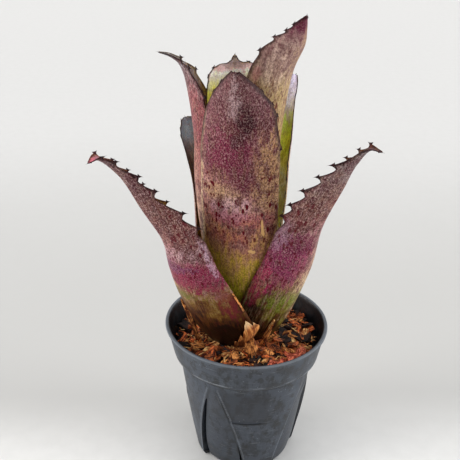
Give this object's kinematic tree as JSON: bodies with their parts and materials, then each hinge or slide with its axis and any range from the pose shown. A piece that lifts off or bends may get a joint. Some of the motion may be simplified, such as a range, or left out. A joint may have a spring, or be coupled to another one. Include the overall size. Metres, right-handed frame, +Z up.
{
  "type": "potted hohenbergia",
  "caption": "Young hohenbergia bromeliad: a narrow vase of stiff spine-edged leaves, the outer ones arching away, in a tapered slotted nursery pot filled with bark chips.",
  "frame": {"origin": "centre of the pot's flat underside", "axes": "+Z up; +X to the right as the picture shows the plant; the picture looks along +Y and down"},
  "size_m": [0.1466, 0.1051, 0.2804],
  "materials": {
    "pot": "matt, dusty charcoal",
    "bark": "rough orange-brown bark chips",
    "red_bark": "rough terracotta-red chips",
    "stem": "rough, brown",
    "dry_sheath": "dry, papery tan",
    "leaf": "satin, mottled maroon to olive, with pale scurf"
  },
  "bodies": {
    "root": {"pot": "pot", "bark_medium": "bark", "red_chips": "red_bark", "stem": "stem", "dry_sheath_front": "dry_sheath", "dry_sheath_left": "dry_sheath", "leaf_left_outer": "leaf", "leaf_right_outer": "leaf", "leaf_left_back": "leaf", "leaf_front": "leaf", "leaf_right_back": "leaf", "leaf_left_upright": "leaf", "leaf_right_tall": "leaf", "leaf_back": "leaf"}
  },
  "joints": []
}
